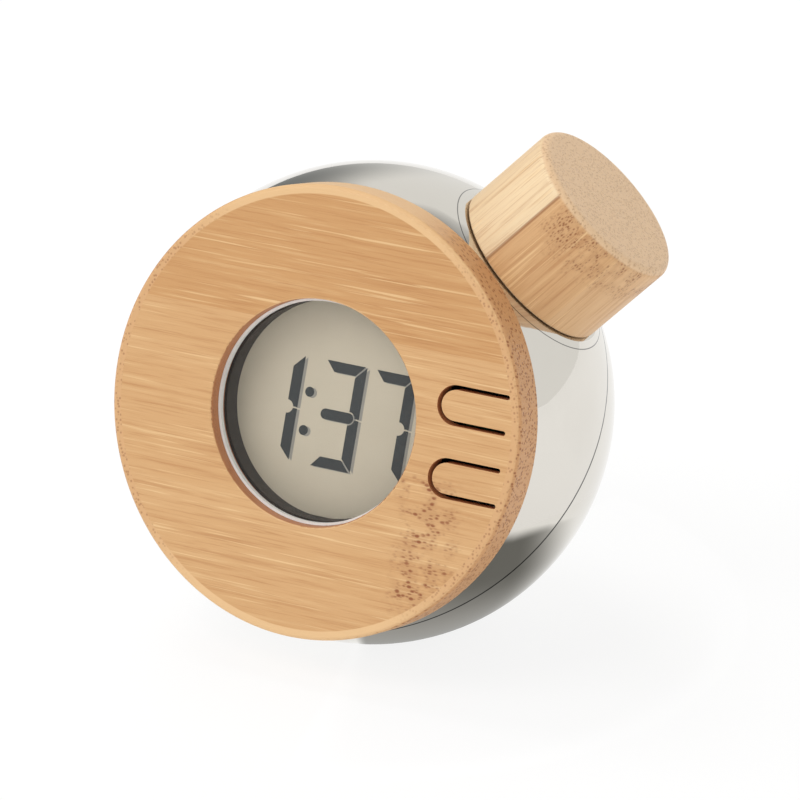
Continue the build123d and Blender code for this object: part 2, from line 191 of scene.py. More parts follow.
class Nodes:
    """Small builder of shader nodes."""

    SCATTER = 0.85

    def __init__(self, tree: bpy.types.NodeTree) -> None:
        """Start with the tree that nodes are added to."""
        self.tree = tree

    def add(self, kind: str, **settings: object) -> bpy.types.Node:
        """Add a node and set its properties.

        Args:
            kind: Type of the node.
            **settings: Its properties and their values.

        Returns:
            The node.
        """
        node = self.tree.nodes.new(kind)
        for key, value in settings.items():
            setattr(node, key, value)
        return node

    def put(self, socket: Socket, value: object) -> None:
        """Link a socket to another, or set its value.

        Args:
            socket: The input.
            value: Output of another node, or a plain value.
        """
        if isinstance(value, bpy.types.NodeSocket):
            self.tree.links.new(value, socket)
        else:
            socket.default_value = value

    def math(self, operation: str, first: Value, second: Value = 0.0, clamp: bool = False) -> Socket:
        """Run a math node on one or two values.

        Args:
            operation: Name of the operation.
            first: First value.
            second: Second value, if the operation takes one.
            clamp: Whether the result is held between 0 and 1.

        Returns:
            The result.
        """
        node = self.add("ShaderNodeMath", operation=operation, use_clamp=clamp)
        self.put(node.inputs[0], first)
        self.put(node.inputs[1], second)
        return node.outputs[0]

    def times(self, first: Value, second: Value) -> Socket:
        """Product of two values."""
        return self.math("MULTIPLY", first, second)

    def inverse(self, value: Value) -> Socket:
        """What a share leaves of one."""
        return self.math("SUBTRACT", 1.0, value)

    def length(self, first: Socket, second: Socket) -> Socket:
        """Length of a flat vector, from its two parts."""
        square = self.math("ADD", self.times(first, first), self.times(second, second))
        return self.math("SQRT", square)

    def fit(self, value: Socket, factor: float, offset: float) -> Socket:
        """Scale and shift a value.

        Args:
            value: The value.
            factor: What it is multiplied by.
            offset: What is added after that.

        Returns:
            The fitted value.
        """
        node = self.add("ShaderNodeMath", operation="MULTIPLY_ADD")
        for socket, part in zip(node.inputs, (value, factor, offset)):
            self.put(socket, part)
        return node.outputs[0]

    def step(self, value: Value, low: float, high: float) -> Socket:
        """Take a smooth step.

        Args:
            value: The value that decides.
            low: Where the step is 0.
            high: Where the step is 1.

        Returns:
            A share from 0 to 1.
        """
        node = self.add("ShaderNodeMapRange", interpolation_type="SMOOTHSTEP")
        self.put(node.inputs["Value"], value)
        node.inputs["From Min"].default_value = low
        node.inputs["From Max"].default_value = high
        return node.outputs["Result"]

    def wash(self, value: Value, wash: Wash) -> Socket:
        """Share of a tint at a value."""
        return self.times(self.step(value, wash.low, wash.high), wash.strength)

    def mix(self, share: Value, first: object, second: object) -> Socket:
        """Mix two colours.

        Args:
            share: Share of the second colour.
            first: First colour.
            second: Second colour.

        Returns:
            The mixed colour.
        """
        node = self.add("ShaderNodeMix", data_type="RGBA")
        self.put(node.inputs[0], share)
        self.put(node.inputs[6], first)
        self.put(node.inputs[7], second)
        return node.outputs[2]

    def ramp(self, value: Socket, stops: Sequence[tuple[float, Colour]], kind: str = "LINEAR") -> Socket:
        """Colour a value from 0 to 1.

        Args:
            value: The value.
            stops: Place and colour of each stop.
            kind: How it runs from stop to stop.

        Returns:
            The colour.
        """
        node = self.add("ShaderNodeValToRGB")
        node.color_ramp.interpolation = kind
        elements = node.color_ramp.elements
        while len(elements) < len(stops):
            elements.new(0.5)
        for element, (place, colour) in zip(elements, stops):
            element.position = place
            element.color = colour
        self.put(node.inputs[0], value)
        return node.outputs[0]

    def place(self, turn: Matrix, origin: Vector) -> tuple[Socket, Socket, Socket, Socket]:
        """See object coordinates from a turned frame.

        Args:
            turn: Directions of the frame, as columns.
            origin: Origin of the frame.

        Returns:
            The vector and its three parts.
        """
        source = self.add("ShaderNodeTexCoord")
        mapping = self.add("ShaderNodeMapping", vector_type="TEXTURE")
        mapping.inputs["Location"].default_value = origin
        mapping.inputs["Rotation"].default_value = turn.to_euler("XYZ")
        self.put(mapping.inputs["Vector"], source.outputs["Object"])
        parts = self.add("ShaderNodeSeparateXYZ")
        self.put(parts.inputs[0], mapping.outputs[0])
        return mapping.outputs[0], *parts.outputs

    def dot(self, vector: Socket, direction: Vector) -> Socket:
        """Measure a vector along a direction.

        Args:
            vector: The vector.
            direction: The direction.

        Returns:
            Their dot product.
        """
        node = self.add("ShaderNodeVectorMath", operation="DOT_PRODUCT")
        self.put(node.inputs[0], vector)
        node.inputs[1].default_value = direction
        return node.outputs["Value"]

    def facing(self, direction: Vector) -> Socket:
        """How squarely the surface faces along a direction, either way, from 0 to 1."""
        source = self.add("ShaderNodeTexCoord")
        return self.math("ABSOLUTE", self.dot(source.outputs["Normal"], direction))

    def level(self, direction: Vector, origin: Vector) -> Socket:
        """Measure how far the place lies from an origin.

        Args:
            direction: Direction that counts.
            origin: The origin.

        Returns:
            The distance along the direction.
        """
        source = self.add("ShaderNodeTexCoord")
        shifted = self.add("ShaderNodeVectorMath", operation="SUBTRACT")
        self.put(shifted.inputs[0], source.outputs["Object"])
        shifted.inputs[1].default_value = origin
        return self.dot(shifted.outputs[0], direction)

    def stretch(self, vector: Socket, scale: Sequence[float]) -> Socket:
        """Scale each part of a vector.

        Args:
            vector: The vector.
            scale: Factor of each part.

        Returns:
            The scaled vector.
        """
        node = self.add("ShaderNodeVectorMath", operation="MULTIPLY")
        self.put(node.inputs[0], vector)
        node.inputs[1].default_value = scale
        return node.outputs[0]

    def noise(self, vector: Socket, scale: Sequence[float], detail: float = 4.0, rough: float = 0.55) -> Socket:
        """Make noise.

        Args:
            vector: Where it is read.
            scale: Cells per metre along each direction.
            detail: Octaves.
            rough: Weight of the finer octaves.

        Returns:
            The noise, about 0 to 1.
        """
        node = self.add("ShaderNodeTexNoise")
        self.put(node.inputs["Vector"], self.stretch(vector, scale))
        node.inputs["Scale"].default_value = 1.0
        node.inputs["Detail"].default_value = detail
        node.inputs["Roughness"].default_value = rough
        return node.outputs[0]

    def dots(self, vector: Socket, scale: Sequence[float], sizes: Pair) -> Socket:
        """Scatter dots.

        Args:
            vector: Where they are read.
            scale: Cells per metre along each direction, with one dot in each.
            sizes: Radius of the full dot and of its soft edge, in cells.

        Returns:
            1 in the middle of each dot, 0 between them.
        """
        node = self.add("ShaderNodeTexVoronoi", feature="F1")
        self.put(node.inputs["Vector"], self.stretch(vector, scale))
        node.inputs["Scale"].default_value = 1.0
        node.inputs["Randomness"].default_value = self.SCATTER
        return self.inverse(self.step(node.outputs["Distance"], *sizes))


class Graph(Nodes):
    """Builder of one procedural material with a principled shader."""

    def __init__(self, name: str) -> None:
        """Start a material.

        Args:
            name: Name of the material.
        """
        self.material = bpy.data.materials.new(name)
        self.material.use_nodes = True
        super().__init__(self.material.node_tree)
        self.shader = self.tree.nodes["Principled BSDF"]

    def bump(self, height: Socket, distance: float, strength: float = 1.0) -> None:
        """Bump the surface.

        Args:
            height: Height, about 0 to 1.
            distance: Depth of the relief.
            strength: Share of it that is used.
        """
        node = self.add("ShaderNodeBump")
        node.inputs["Strength"].default_value = strength
        node.inputs["Distance"].default_value = distance
        self.put(node.inputs["Height"], height)
        self.put(self.shader.inputs["Normal"], node.outputs[0])

    def set(self, **values: object) -> None:
        """Set or link sockets of the shader, with underscores for spaces in their names."""
        for key, value in values.items():
            self.put(self.shader.inputs[key.replace("_", " ")], value)


@dataclass(frozen=True)
class Wood:
    """Colours of a bamboo and its end grain.

    Args:
        light: Colour of the pale strips.
        tan: Colour of the darker strips.
        fibre: Colour of the dark fibres.
        hairline: Colour of the thin pale fibres.
        speck: Colour of the specks at a node.
        burnt: Colour of cut walls.
        edge: Colour of the rim where it runs along the grain, paler than the face partly by the side grain's own
            tone and partly by painted light from above; also the colour of the painted highlight on the face's
            edge.
        end: Colour of the end grain.
        end_contrast: How dark the dots of the end grain are.
        pores: Dots of the end grain per metre.
    """

    light: Colour = srgb(217, 172, 121)
    tan: Colour = srgb(204, 153, 99)
    fibre: Colour = srgb(178, 120, 68)
    hairline: Colour = srgb(240, 204, 152)
    speck: Colour = srgb(146, 84, 46)
    burnt: Colour = srgb(196, 132, 88)
    edge: Colour = srgb(232, 192, 142)
    end: Colour = srgb(206, 155, 106)
    end_contrast: float = 0.8
    pores: float = 1550.0


class Bamboo(Graph):
    """Laminated bamboo with fibres, speckled nodes and dotted end grain."""

    # Noises of the wood, and how each tints it
    STREAK = Layer(34, 950, 5.0, 0.62)
    HAIR = Layer(80, 3000, 3.0, 0.6)
    THREAD = Layer(40, 1900, 2.0, 0.5)
    DRIFT = Layer(20, 90)
    WANDER = Layer(160, 160, 3.0)
    PATCHES = Layer(300, 420)
    DARK_STREAK = Wash(0.50, 0.70, 0.46)
    PALE_STREAK = Wash(0.46, 0.30, 0.30)
    DARK_HAIR = Wash(0.50, 0.72, 0.42)
    PALE_THREAD = Wash(0.60, 0.70, 0.62)
    TAN_DRIFT = Wash(0.40, 0.65, 0.22)

    # Glued strips: width of the piece, and where each strip starts with its share of the pale colour
    PANEL_SPAN = 80 * MM
    PANEL_STRIPS = ((0.0, 0.75), (0.22, 0.9), (0.685, 0.1))
    CAP_SPAN = 32 * MM
    JOINT = -6 * MM
    CAP_STRIPS = ((0.0, 1.0), (0.5 + JOINT / CAP_SPAN, 0.0), (0.78, 0.2))
    JOINT_LINE = Wash(0.45 * MM, 0.12 * MM, 0.7)
    SKEW = math.radians(13)

    # Specks of a node: middle and half width of the band along the grain, and its ends across it
    PANEL_NODE = (24.5 * MM, 7.5 * MM)
    PANEL_NODE_LOW = (-33 * MM, -28 * MM)
    PANEL_NODE_HIGH = (-9 * MM, -6 * MM)
    CAP_NODE = (59.5 * MM, 11.0 * MM)
    CAP_NODE_LOW = (JOINT, JOINT + 4 * MM)
    CAP_FINER = 1.7
    NODE_WANDER = 9 * MM
    NODE_CORE = 0.4
    LARGE_SPECKS, LARGE_SIZES = (600, 1050), (0.16, 0.40)
    SMALL_SPECKS, SMALL_SIZES, SMALL_SHARE = (700, 1900), (0.16, 0.42), 0.75
    KEPT_SPECKS = (0.38, 0.56)
    SPECK_SHARE, BLUSH = 0.8, 0.18

    # End grain, from how squarely the surface faces along the grain
    END_FACING = (0.30, 0.62)
    PORE_CELLS_ALONG, PORE_SIZES = 30, (0.20, 0.46)
    FINE_CELLS_ALONG, FINE_SIZES = 60, (0.15, 0.45)
    FINER, FINE_CONTRAST = 2.1, 0.4

    # Pale rim, partly the side grain's tone and partly painted light from above; painted highlight of a rounded
    # edge at the face's rim; and cut walls
    RIM_TONE_AND_LIGHT = Wash(0.99, 0.80, 0.75)
    FACE = Wash(0.80, 0.99, 0.9)
    PAINTED_BEVEL_REACH = (38.2 * MM, 38.4 * MM)
    EDGE_ENDS = (0.45, 0.85)
    EDGE_END_TONE, EDGE_DOTS = 0.65, 0.7
    WALL_REACH = 38.8 * MM
    WALL_FACING = (0.35, 0.75)

    # Sheen and relief
    ROUGH_SWING, ROUGH_BASE = 0.22, 0.34
    SPECULAR = 0.42
    SPECK_DEPTH, PORE_DEPTH = 0.8, 1.2
    RELIEF = 0.06 * MM

    def __init__(self, layout: Grain, clock: ClockFrame, wood: Wood) -> None:
        """Find the places along and across the grain.

        Args:
            layout: Which piece the strips are laid out for.
            clock: The clock's frame.
            wood: The colours.
        """
        super().__init__(f"bamboo_{layout.value}")
        self.layout, self.wood, self.normal = layout, wood, clock.normal
        if layout is Grain.PANEL:
            self.grain = clock.across
            self.vector, self.along, self.across, _ = self.place(clock.panel_turn(), clock.centre)
            self.lateral = self.across
        else:
            self.grain = clock.cap_axis
            self.vector, depth, self.across, self.along = self.place(clock.cap_turn(), clock.centre)
            slant = self.times(depth, -math.sin(self.SKEW))
            self.lateral = self.math("ADD", self.times(self.across, math.cos(self.SKEW)), slant)

    def cells(self, along: float, across: float) -> tuple[float, float, float]:
        """Cells per metre along the grain and across it, in the order of the piece's directions."""
        return (along, across, across) if self.layout is Grain.PANEL else (across, across, along)

    def layer(self, layer: Layer) -> Socket:
        """Noise of one layer."""
        return self.noise(self.vector, self.cells(layer.along, layer.across), layer.detail, layer.rough)

    def build(self) -> bpy.types.Material:
        """Make the material.

        Returns:
            The finished bamboo.
        """
        wood, streak, hair = self.wood, self.layer(self.STREAK), self.layer(self.HAIR)
        specks = self.specks()
        colour = self.mix(specks, self.fibres(streak, hair), wood.speck)
        end = self.step(self.facing(self.grain), *self.END_FACING)
        pores = self.dots(self.vector, self.cells(self.PORE_CELLS_ALONG, wood.pores), self.PORE_SIZES)
        colour = self.mix(end, colour, self.end_grain(pores))
        if self.layout is Grain.PANEL:
            # Rim paler than the face: partly the side grain's own tone, partly painted light from above
            rim = self.times(self.wash(self.facing(self.normal), self.RIM_TONE_AND_LIGHT), self.inverse(end))
            colour = self.mix(rim, colour, wood.edge)
            # Painted highlight of a rounded edge that the flat face lacks
            colour = self.painted_bevel_highlight(colour)
            colour = self.mix(self.cut_walls(), colour, wood.burnt)

        rough = self.fit(hair, self.ROUGH_SWING, self.ROUGH_BASE)
        self.set(Base_Color=colour, Roughness=rough, Specular_IOR_Level=self.SPECULAR)
        height = self.math("SUBTRACT", self.math("ADD", hair, streak), self.times(specks, self.SPECK_DEPTH))
        height = self.math("SUBTRACT", height, self.times(self.times(pores, end), self.PORE_DEPTH))
        self.bump(height, self.RELIEF)
        return self.material

    def fibres(self, streak: Socket, hair: Socket) -> Socket:
        """Colour the strips and their fibres.

        Args:
            streak: Noise of the broad fibres.
            hair: Noise of the fine fibres.

        Returns:
            The colour of the wood along its grain.
        """
        wood, thread, drift = self.wood, self.layer(self.THREAD), self.layer(self.DRIFT)
        colour = self.mix(self.strips(), wood.tan, wood.light)
        colour = self.mix(self.wash(streak, self.DARK_STREAK), colour, wood.fibre)
        colour = self.mix(self.wash(streak, self.PALE_STREAK), colour, wood.hairline)
        colour = self.mix(self.wash(hair, self.DARK_HAIR), colour, wood.fibre)
        colour = self.mix(self.wash(thread, self.PALE_THREAD), colour, wood.hairline)
        colour = self.mix(self.wash(drift, self.TAN_DRIFT), colour, wood.tan)
        if self.layout is Grain.CAP:
            away = self.math("ABSOLUTE", self.math("SUBTRACT", self.lateral, self.JOINT))
            colour = self.mix(self.wash(away, self.JOINT_LINE), colour, wood.speck)
        return colour

    def strips(self) -> Socket:
        """Lay out the glued strips.

        Returns:
            Share of the pale colour in each strip, from 0 to 1.
        """
        span, strips = self.CAP_SPAN, self.CAP_STRIPS
        if self.layout is Grain.PANEL:
            span, strips = self.PANEL_SPAN, self.PANEL_STRIPS
        stops = [(place, grey(tone)) for place, tone in strips]
        return self.ramp(self.fit(self.lateral, 1 / span, 0.5), stops, "CONSTANT")

    def end_grain(self, pores: Socket) -> Socket:
        """Colour the end grain.

        Args:
            pores: Where its larger dots are.

        Returns:
            The colour with both kinds of dots.
        """
        wood = self.wood
        fine_cells = self.cells(self.FINE_CELLS_ALONG, self.FINER * wood.pores)
        fine = self.dots(self.vector, fine_cells, self.FINE_SIZES)
        colour = self.mix(self.times(pores, wood.end_contrast), wood.end, wood.speck)
        return self.mix(self.times(fine, self.FINE_CONTRAST * wood.end_contrast), colour, wood.fibre)

    def painted_bevel_highlight(self, colour: Socket) -> Socket:
        """Paint a pale ring on the outer edge of the panel's face, the highlight of a rounded edge that the solid
        lacks, with dots where the grain ends.

        Args:
            colour: Colour of the panel so far.

        Returns:
            The colour with the edge.
        """
        wood, away = self.wood, self.length(self.along, self.across)
        ends = self.step(self.math("DIVIDE", self.math("ABSOLUTE", self.along), away), *self.EDGE_ENDS)
        dots = self.times(self.dots(self.vector, (wood.pores,) * 3, self.PORE_SIZES), ends)
        tone = self.mix(self.times(ends, self.EDGE_END_TONE), wood.edge, wood.end)
        tone = self.mix(self.times(dots, self.EDGE_DOTS * wood.end_contrast), tone, wood.speck)
        face = self.wash(self.facing(self.normal), self.FACE)
        return self.mix(self.times(self.step(away, *self.PAINTED_BEVEL_REACH), face), colour, tone)

    def node_band(self) -> Socket:
        """Find the soft band across the grain in which a node of the cane lies.

        Returns:
            1 in the band, 0 away from it.
        """
        if self.layout is Grain.PANEL:
            middle, half = self.PANEL_NODE
            above = self.inverse(self.step(self.lateral, *self.PANEL_NODE_HIGH))
            patch = self.times(self.step(self.lateral, *self.PANEL_NODE_LOW), above)
        else:
            middle, half = self.CAP_NODE
            patch = self.step(self.lateral, *self.CAP_NODE_LOW)
        wander = self.times(self.math("SUBTRACT", self.layer(self.WANDER), 0.5), self.NODE_WANDER)
        away = self.math("SUBTRACT", self.math("ADD", self.along, wander), middle)
        near = self.inverse(self.step(self.math("ABSOLUTE", away), half * self.NODE_CORE, half))
        return self.times(patch, near)

    def specks(self) -> Socket:
        """Scatter the specks of a node.

        Returns:
            How dark the specks are.
        """
        finer = 1.0 if self.layout is Grain.PANEL else self.CAP_FINER
        large_cells = self.cells(*(finer * count for count in self.LARGE_SPECKS))
        small_cells = self.cells(*(finer * count for count in self.SMALL_SPECKS))
        large = self.dots(self.vector, large_cells, self.LARGE_SIZES)
        small = self.times(self.dots(self.vector, small_cells, self.SMALL_SIZES), self.SMALL_SHARE)
        keep = self.step(self.layer(self.PATCHES), *self.KEPT_SPECKS)
        spots = self.times(self.math("MAXIMUM", large, small), keep)
        dark = self.math("ADD", self.times(spots, self.SPECK_SHARE), self.times(keep, self.BLUSH))
        return self.math("MULTIPLY", dark, self.node_band(), clamp=True)

    def cut_walls(self) -> Socket:
        """Where the panel was cut through, 1 on the walls of the window and the slots."""
        inside = self.math("LESS_THAN", self.length(self.along, self.across), self.WALL_REACH)
        return self.times(inside, self.inverse(self.step(self.facing(self.normal), *self.WALL_FACING)))


@dataclass(frozen=True)
class Plating:
    """Mirror plating with a breath of haze, with painted shade in the seam's groove and a painted dark line round
    the cap.

    Args:
        clock: The clock's frame.
        ball_radius: Radius of the ball.
        collar_radius: Radius of the thin line round the cap's seat.
        seam_slope: Slope of the seam's plane.
        seam_level: Distance of that plane from the ball's centre.
        groove: Half width of the painted shade in the seam's groove, and where its soft edge ends.
        edge: Half width of the thin line, and where its soft edge ends.
        tint: Colour of the plating.
        haze_tint: Colour where it is hazy.
        groove_shade_tint: Colour of the painted shade in the groove.
        collar_line_shade: Colour of the thin line's painted shade.
        roughness: Roughness without haze.
    """

    clock: ClockFrame
    ball_radius: float
    collar_radius: float = 17.6 * MM
    seam_slope: float = math.radians(43.6)
    seam_level: float = -2.45 * MM
    groove: Pair = (0.18 * MM, 0.27 * MM)
    edge: Pair = (0.04 * MM, 0.12 * MM)
    tint: Colour = (0.74, 0.71, 0.655, 1.0)
    haze_tint: Colour = (0.72, 0.69, 0.635, 1.0)
    groove_shade_tint: Colour = (0.02, 0.02, 0.02, 1.0)
    collar_line_shade: Colour = (0.20, 0.195, 0.185, 1.0)
    roughness: float = 0.03

    HAZE_CELLS = 60
    FINE_CELLS = 420
    WAVE_CELLS = 25
    HAZE_STEP = (0.4, 0.7)
    ROUGH_SWING = 0.05
    WAVE_HEIGHT = 0.02 * MM
    WAVE_STRENGTH = 0.5
    LINE_MARGIN = 1 * MM

    def build(self) -> bpy.types.Material:
        """Make the material.

        Returns:
            The finished plating.
        """
        graph = Graph("mirror_plating")
        source = graph.add("ShaderNodeTexCoord").outputs["Object"]
        haze = graph.noise(source, (self.HAZE_CELLS,) * 3, 4.0)
        fine = graph.noise(source, (self.FINE_CELLS,) * 3, 3.0)
        rough = graph.fit(graph.times(haze, fine), self.ROUGH_SWING, self.roughness)
        colour = graph.mix(graph.step(haze, *self.HAZE_STEP), self.tint, self.haze_tint)
        # Painted shade of a hairline seam round the cap
        colour = graph.mix(self.collar(graph), colour, self.collar_line_shade)
        # Painted shade in the seam's groove
        colour = graph.mix(self.seam(graph), colour, self.groove_shade_tint)
        graph.set(Base_Color=colour, Metallic=1.0, Roughness=rough)
        waves = graph.noise(source, (self.WAVE_CELLS,) * 3, 2.0)
        graph.bump(waves, self.WAVE_HEIGHT, self.WAVE_STRENGTH)
        return graph.material

    def seam(self, graph: Graph) -> Socket:
        """Find the groove of the seam, where its shade is painted.

        Args:
            graph: The material.

        Returns:
            Share of the painted shade in the groove.
        """
        slope = Vector((0, -math.cos(self.seam_slope), math.sin(self.seam_slope)))
        away = graph.math("SUBTRACT", graph.level(slope, self.clock.centre), self.seam_level)
        return graph.inverse(graph.step(graph.math("ABSOLUTE", away), *self.groove))

    def collar(self, graph: Graph) -> Socket:
        """Paint the thin dark line that rings the cap's seat on the ball, the shade of a hairline seam that the
        solids lack.

        Args:
            graph: The material.

        Returns:
            Share of the line's painted shade.
        """
        level = math.sqrt(self.ball_radius**2 - self.collar_radius**2)
        _, first, second, along = graph.place(self.clock.cap_turn(), self.clock.centre)
        away = graph.math("SUBTRACT", graph.length(first, second), self.collar_radius)
        line = graph.inverse(graph.step(graph.math("ABSOLUTE", away), *self.edge))
        return graph.times(line, graph.math("GREATER_THAN", along, level - self.LINE_MARGIN))


@dataclass(frozen=True)
class Plain:
    """Moulded, rubber or metal finish with a fine texture.

    Args:
        name: Name of the finish.
        colour: Main colour.
        shade: Colour of the flecks.
        roughness: Mean roughness.
        metallic: 1 for bare metal.
        cells: Flecks per metre.
        alpha: Opacity.
    """

    name: str
    colour: Colour
    shade: Colour
    roughness: float = 0.5
    metallic: float = 0.0
    cells: float = 900.0
    alpha: float = 1.0

    BROADER = 12
    FLECK_STEP = (0.35, 0.65)
    ROUGH_SWING = 0.16
    RELIEF = 0.02 * MM
    RELIEF_STRENGTH = 0.6

    def build(self) -> bpy.types.Material:
        """Make the material.

        Returns:
            The finish.
        """
        graph = Graph(self.name)
        source = graph.add("ShaderNodeTexCoord").outputs["Object"]
        fleck = graph.noise(source, (self.cells,) * 3, 4.0)
        broad = graph.noise(source, (self.cells / self.BROADER,) * 3, 2.0)
        share = graph.step(graph.times(graph.math("ADD", fleck, broad), 0.5), *self.FLECK_STEP)
        smoothest = max(self.roughness - self.ROUGH_SWING / 2, 0.0)
        graph.set(Base_Color=graph.mix(share, self.colour, self.shade))
        graph.set(Roughness=graph.fit(fleck, self.ROUGH_SWING, smoothest))
        graph.set(Metallic=self.metallic, Alpha=self.alpha)
        if self.alpha == 1.0:
            graph.bump(fleck, self.RELIEF, self.RELIEF_STRENGTH)
        return graph.material


def new_object(name: str, mesh: bmesh.types.BMesh, finish: bpy.types.Material) -> bpy.types.Object:
    """Make an object of a finished mesh, dress it and put it in the scene.

    Args:
        name: Name of the object.
        mesh: Its mesh, in place; it is freed.
        finish: Its material.

    Returns:
        The object.
    """
    data = bpy.data.meshes.new(name)
    mesh.to_mesh(data)
    mesh.free()
    data.materials.append(finish)
    made = bpy.data.objects.new(name, data)
    bpy.context.scene.collection.objects.link(made)
    return made


def new_piece(name: str, mesh: bmesh.types.BMesh, body: str, finish: bpy.types.Material) -> None:
    """Make a piece of the clock and let it ride on a body.

    Args:
        name: Name of the piece.
        mesh: Its mesh, in place.
        body: The body that it moves with.
        finish: Its material.
    """
    bmesh.ops.recalc_face_normals(mesh, faces=mesh.faces[:])
    piece = new_object(name, mesh, finish)
    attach(piece, body)
    LOG.info("made %s", name)


class Segment(enum.Enum):
    """Bars of a seven-bar digit."""

    TOP = "top"
    UPPER_RIGHT = "upper_right"
    LOWER_RIGHT = "lower_right"
    BOTTOM = "bottom"
    MIDDLE = "middle"


DIGITS = {
    "1": (Segment.UPPER_RIGHT, Segment.LOWER_RIGHT),
    "3": (Segment.TOP, Segment.UPPER_RIGHT, Segment.LOWER_RIGHT, Segment.BOTTOM, Segment.MIDDLE),
    "7": (Segment.TOP, Segment.UPPER_RIGHT, Segment.LOWER_RIGHT),
}


@dataclass
class TimeReadout:
    """Dark bars of the display and painted soft shadows of them on its reflector, in millimetres.

    Args:
        clock: The clock's frame.
        cells: Each digit and the middle of its cell.
        colon_x: Where the colon stands.
        colon_rise: Heights of its two dots.
        dot_radius: Radius of a dot.
        middle_y: Height of the digits' middle above the panel's.
        half_width: Half the width of a digit.
        half_height: Half its height.
        bar: Width of a bar.
        gap: Half the gap between two bars.
        tip: How far the outer tips of the level bars are cut back.
        top_corner: Cut of the level bars at the right, in gaps.
        side_corner: Cut of the upright bars at their ends, in gaps.
        middle_start: Where the middle bar starts inside the cell.
        middle_round: Radius of its ends, as a share of a bar's width.
        notch: Radius of the round notches beside the middle bar.
        notch_steps: Sides of a notch.
        slant: Slant of the digits.
        film: Thickness of bars and shadows.
        lift: Gap between shadows and bars.
        shadow_lift: Gap between the display and the shadows.
        shadow_shift: How far the shadows lie off the bars.
    """

    clock: ClockFrame
    cells: Sequence[tuple[str, float]] = (("1", -11.3), ("3", 0.95), ("7", 10.8))
    colon_x: float = -5.35
    colon_rise: Pair = (3.3, -3.65)
    dot_radius: float = 0.9
    middle_y: float = -1.15
    half_width: float = 4.05
    half_height: float = 9.55
    bar: float = 2.05
    gap: float = 0.14
    tip: float = 0.2
    top_corner: float = 2.2
    side_corner: float = 1.5
    middle_start: float = 1.5
    middle_round: float = 0.47
    notch: float = 1.2
    notch_steps: int = 8
    slant: float = 0.045
    film: float = 0.02
    lift: float = 0.012
    shadow_lift: float = 0.002
    shadow_shift: Pair = (0.55, -0.12)

    END_STEP = 18
    DOT_STEP = 15

    def outline(self, segment: Segment) -> list[Pair]:
        """Draw one bar about the middle of its cell.

        Args:
            segment: Which bar.

        Returns:
            Its corners.
        """
        w, h, t, g = self.half_width, self.half_height, self.bar, self.gap
        if segment is Segment.MIDDLE:
            r, left, right = self.middle_round * t, self.middle_start - w, w - t
            arc = [math.radians(angle) for angle in range(-90, 91, self.END_STEP)]
            right_end = [(right + r * math.cos(a), r * math.sin(a)) for a in arc]
            return right_end + [(left - r * math.cos(a), -r * math.sin(a)) for a in arc]
        if segment is Segment.TOP:
            low, tip = h - t + g, self.tip
            return [(tip - w, h), (w - self.top_corner * g, h), (w - t, low), (t - tip - w, low)]
        if segment is Segment.UPPER_RIGHT:
            start = math.asin(g / self.notch)
            sweep = (math.pi / 2 - start) / self.notch_steps
            arc = [start + sweep * step for step in range(self.notch_steps + 1)]
            hollow = [(w - t + self.notch * math.cos(a), self.notch * math.sin(a)) for a in arc]
            return [(w, h - g), (w, g), *hollow, (w - t, h - t - self.side_corner * g)]
        mirrored = Segment.TOP if segment is Segment.BOTTOM else Segment.UPPER_RIGHT
        return [(x, -y) for x, y in reversed(self.outline(mirrored))]

    def shapes(self) -> list[list[Pair]]:
        """Draw all bars and dots of the display.

        Returns:
            Their outlines about the middle of the digits.
        """
        drawn = [
            (middle, self.outline(segment)) for digit, middle in self.cells for segment in DIGITS[digit]
        ]
        turn = [math.radians(angle) for angle in range(0, 360, self.DOT_STEP)]
        dot = [(self.dot_radius * math.cos(a), self.dot_radius * math.sin(a)) for a in turn]
        drawn += [(self.colon_x, [(x, rise + y) for x, y in dot]) for rise in self.colon_rise]
        return [[(middle + x + self.slant * y, y) for x, y in outline] for middle, outline in drawn]

    def mesh(self, shift: Pair, floor: float) -> bmesh.types.BMesh:
        """Lay thin bars on the display's face.

        Args:
            shift: Shift of all bars, in millimetres.
            floor: Level of their backs, in metres.

        Returns:
            The bars' mesh.
        """
        bars = bmesh.new()
        for shape in self.shapes():
            ring = []
            for x, y in shape:
                across, up = (x + shift[0]) * MM, (y + shift[1] + self.middle_y) * MM
                ring.append(bars.verts.new(self.clock.on_panel(across, up, floor)))
            face = bars.faces.new(ring)
            raised = bmesh.ops.extrude_face_region(bars, geom=[face])["geom"]
            corners = [item for item in raised if isinstance(item, bmesh.types.BMVert)]
            bmesh.ops.translate(bars, verts=corners, vec=self.clock.normal * self.film * MM)
        return bars

    def build(self, dark: bpy.types.Material, soft: bpy.types.Material) -> None:
        """Make the bars and their shadows.

        Args:
            dark: Finish of the bars.
            soft: Finish of the shadows.
        """
        face = self.clock.level("lcd_panel")
        shadows = self.mesh(self.shadow_shift, face + self.shadow_lift * MM)
        new_piece("display_shadows", shadows, "case", soft)
        bars = self.mesh((0.0, 0.0), face + (self.film + self.lift) * MM)
        new_piece("display_bars", bars, "case", dark)


